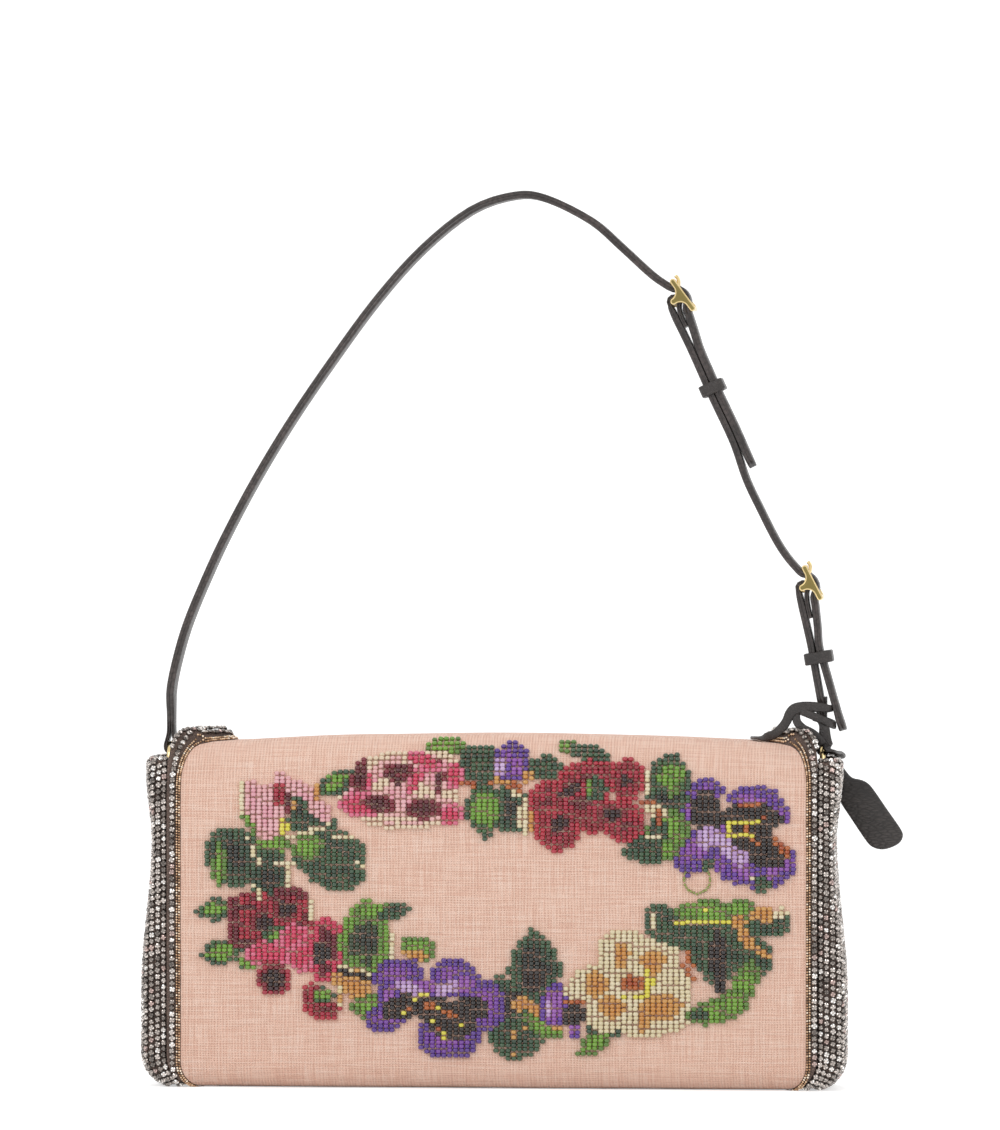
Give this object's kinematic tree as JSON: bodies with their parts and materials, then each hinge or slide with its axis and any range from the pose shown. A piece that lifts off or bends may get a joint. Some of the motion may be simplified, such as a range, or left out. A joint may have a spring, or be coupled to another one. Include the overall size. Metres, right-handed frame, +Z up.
{
  "type": "shoulder bag",
  "caption": "Structured linen shoulder bag with crystal sides, a fold-over magnetic flap and an adjustable leather strap with buckles and sliding keepers.",
  "frame": {"origin": "middle of the bag's flat bottom, on the surface it stands on", "axes": "+X along the bag towards the strap's buckles, +Y from the embroidered back towards the flap's front, +Z up"},
  "size_m": [0.2864, 0.0551, 0.3403],
  "materials": {
    "linen": "plain slubby weave",
    "board": "fibre board",
    "crystal": "faceted crystals on cloth",
    "beads": "small round beads",
    "seed_beads": "glossy glass seed beads",
    "satin": "satin",
    "leather": "fine grain, satin",
    "gold": "polished pale gold",
    "steel": "brushed"
  },
  "bodies": {
    "body": {"back_panel": "linen", "front_panel": "linen", "bottom_panel": "linen", "base_board": "board", "gusset_left": "crystal", "gusset_right": "crystal", "back_band_left": "crystal", "back_band_right": "crystal", "front_band_left": "crystal", "front_band_right": "crystal", "back_trim_left": "beads", "back_trim_right": "beads", "front_trim_left": "beads", "front_trim_right": "beads", "beadwork": "seed_beads", "lining_back": "satin", "lining_front": "satin", "lining_bottom": "satin", "lining_left": "satin", "lining_right": "satin", "ring_tab_left": "leather", "ring_tab_right": "leather", "snap_socket": "gold", "snap_washer": "steel", "pocket_panel": "satin", "zip_tape": "satin", "zip_teeth": "gold", "thong_loop": "leather"},
    "flap": {"flap_panel": "linen", "flap_lining": "satin", "flap_band": "crystal", "flap_trim": "beads", "snap_stud": "gold"},
    "strap": {"strap_long": "leather", "strap_middle": "leather", "strap_short": "leather", "buckle_upper": "gold", "buckle_lower": "gold", "ring_left": "gold", "ring_right": "gold", "thong_wrap": "leather"},
    "prong_upper": {"prong_upper": "gold"},
    "prong_lower": {"prong_lower": "gold"},
    "keeper_upper": {"keeper_upper": "leather"},
    "keeper_lower": {"keeper_lower": "leather"},
    "tag": {"tag": "leather"},
    "zip_slider": {"zip_slider": "gold"},
    "zip_pull": {"zip_pull": "gold"}
  },
  "joints": [
    {"name": "flap_hinge", "type": "hinge", "parent": "body", "child": "flap", "pos_m": [0, -0.02165, 0.12649], "axis": [1, 0, 0], "range_deg": [0, 115]},
    {"name": "strap_swing", "type": "hinge", "parent": "body", "child": "strap", "pos_m": [0, 0, 0.1232], "axis": [1, 0, 0], "range_deg": [-55, 55], "deforming": ["thong_loop"]},
    {"name": "prong_upper_lift", "type": "hinge", "parent": "strap", "child": "prong_upper", "pos_m": [0.06814, 0, 0.29815], "axis": [0, 1, 0], "range_deg": [0, 12]},
    {"name": "prong_lower_lift", "type": "hinge", "parent": "strap", "child": "prong_lower", "pos_m": [0.117, 0, 0.18963], "axis": [0, 1, 0], "range_deg": [0, 12]},
    {"name": "keeper_upper_slide", "type": "slide", "parent": "strap", "child": "keeper_upper", "axis": [0.4163, 0, -0.9092], "range_m": [-0.004, 0.006]},
    {"name": "keeper_lower_slide", "type": "slide", "parent": "strap", "child": "keeper_lower", "axis": [0.1668, 0, -0.986], "range_m": [-0.003, 0.003]},
    {"name": "tag_swing", "type": "hinge", "parent": "body", "child": "tag", "pos_m": [0.12626, 0.02505, 0.12292], "axis": [0, 1, 0], "range_deg": [-60, 30]},
    {"name": "zip_slide", "type": "slide", "parent": "body", "child": "zip_slider", "axis": [-1, 0, 0], "range_m": [0, 0.123]},
    {"name": "zip_pull_turn", "type": "hinge", "parent": "zip_slider", "child": "zip_pull", "pos_m": [0.0615, -0.01915, 0.09975], "axis": [0, 1, 0], "range_deg": [0, 150]}
  ]
}
